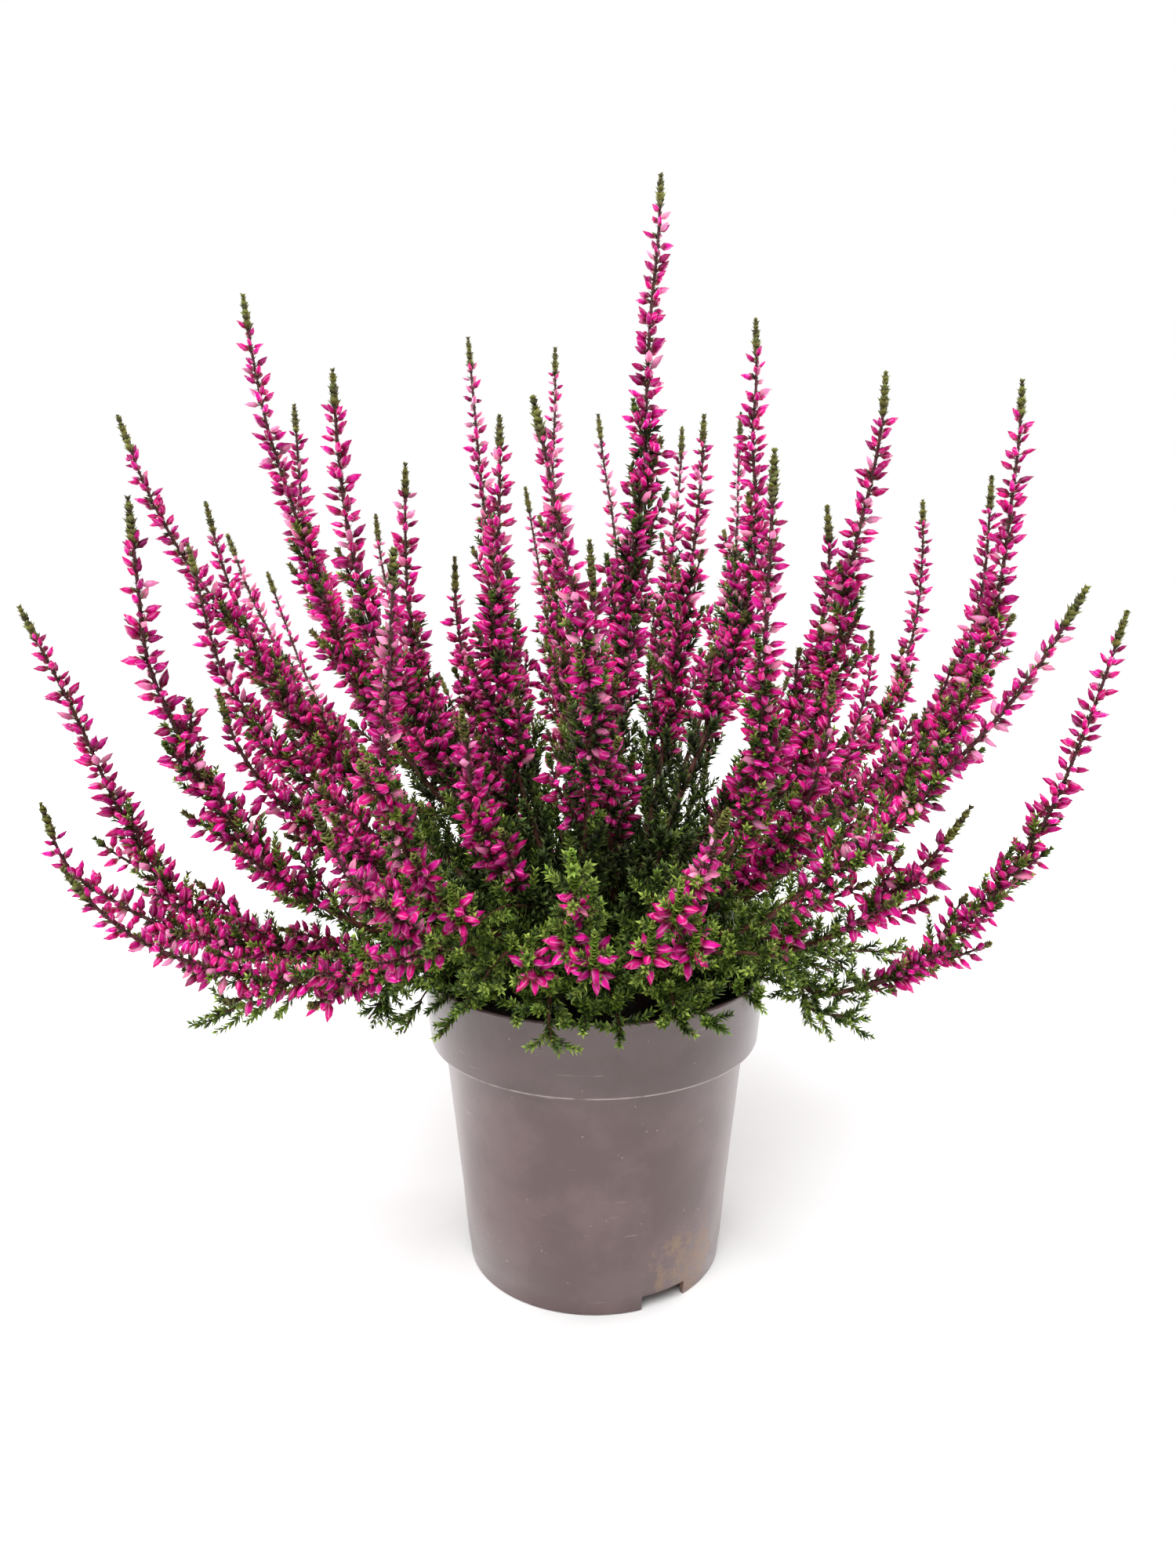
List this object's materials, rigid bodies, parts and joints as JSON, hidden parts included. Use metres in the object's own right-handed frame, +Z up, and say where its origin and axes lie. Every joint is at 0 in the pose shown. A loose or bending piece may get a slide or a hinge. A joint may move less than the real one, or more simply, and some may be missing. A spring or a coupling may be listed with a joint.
{
  "type": "potted heather",
  "caption": "Heather in a plain tapered plastic pot: slender upright spikes of pink buds over dense dark green scale-leaved shoots.",
  "frame": {"origin": "centre of the pot's flat underside, where it stands on a surface", "axes": "+Z up along the pot's turned axis, +Y towards the back of the plant as the picture sees it, +X to the right"},
  "size_m": [0.3251, 0.2772, 0.3359],
  "materials": {
    "pot_plastic": "taupe moulded polypropylene, satin, faintly cloudy and scuffed",
    "potting_soil": "moist dark peat with fibres and granules, matt",
    "heather_leaf": "tiny dark green scale leaves, yellower towards the shoot tips, on reddish brown woody stems",
    "heather_bud": "closed magenta buds with paler seams and whitish bases, satin",
    "woody_stem": "reddish brown bark, matt"
  },
  "bodies": {
    "root": {"pot": "pot_plastic", "potting_soil": "potting_soil", "branch_left": "heather_leaf", "branch_left_back": "heather_leaf", "branch_back_left": "heather_leaf", "branch_back": "heather_leaf", "branch_back_right": "heather_leaf", "branch_right": "heather_leaf", "branch_front_right": "heather_leaf", "branch_front_left": "heather_leaf", "branch_centre_left": "heather_leaf", "branch_centre_right": "heather_leaf", "flower_spike_01": "heather_bud", "flower_spike_02": "heather_bud", "flower_spike_03": "heather_bud", "flower_spike_04": "heather_bud", "flower_spike_05": "heather_bud", "flower_spike_06": "heather_bud", "flower_spike_07": "heather_bud", "flower_spike_08": "heather_bud", "flower_spike_09": "heather_bud", "flower_spike_10": "heather_bud", "flower_spike_11": "heather_bud", "flower_spike_12": "heather_bud", "flower_spike_13": "heather_bud", "flower_spike_14": "heather_bud", "flower_spike_15": "heather_bud", "flower_spike_16": "heather_bud", "flower_spike_17": "heather_bud", "flower_spike_18": "heather_bud", "flower_spike_19": "heather_bud", "flower_spike_20": "heather_bud", "flower_spike_21": "heather_bud", "flower_spike_22": "heather_bud", "flower_spike_23": "heather_bud", "flower_spike_24": "heather_bud", "flower_spike_25": "heather_bud", "flower_spike_26": "heather_bud", "flower_spike_27": "heather_bud", "flower_spike_28": "heather_bud", "flower_spike_29": "heather_bud", "flower_spike_30": "heather_bud", "flower_spike_31": "heather_bud", "flower_spike_32": "heather_bud", "flower_spike_33": "heather_bud", "flower_spike_34": "heather_bud", "flower_spike_35": "heather_bud", "flower_spike_36": "heather_bud", "flower_spike_37": "heather_bud", "flower_spike_38": "heather_bud", "flower_spike_39": "heather_bud", "flower_spike_40": "heather_bud", "flower_spike_41": "heather_bud", "flower_spike_42": "heather_bud", "flower_spike_43": "heather_bud", "flower_spike_44": "heather_bud", "flower_spike_45": "heather_bud", "flower_spike_46": "heather_bud", "flower_spike_47": "heather_bud", "flower_spike_48": "heather_bud"}
  },
  "joints": []
}
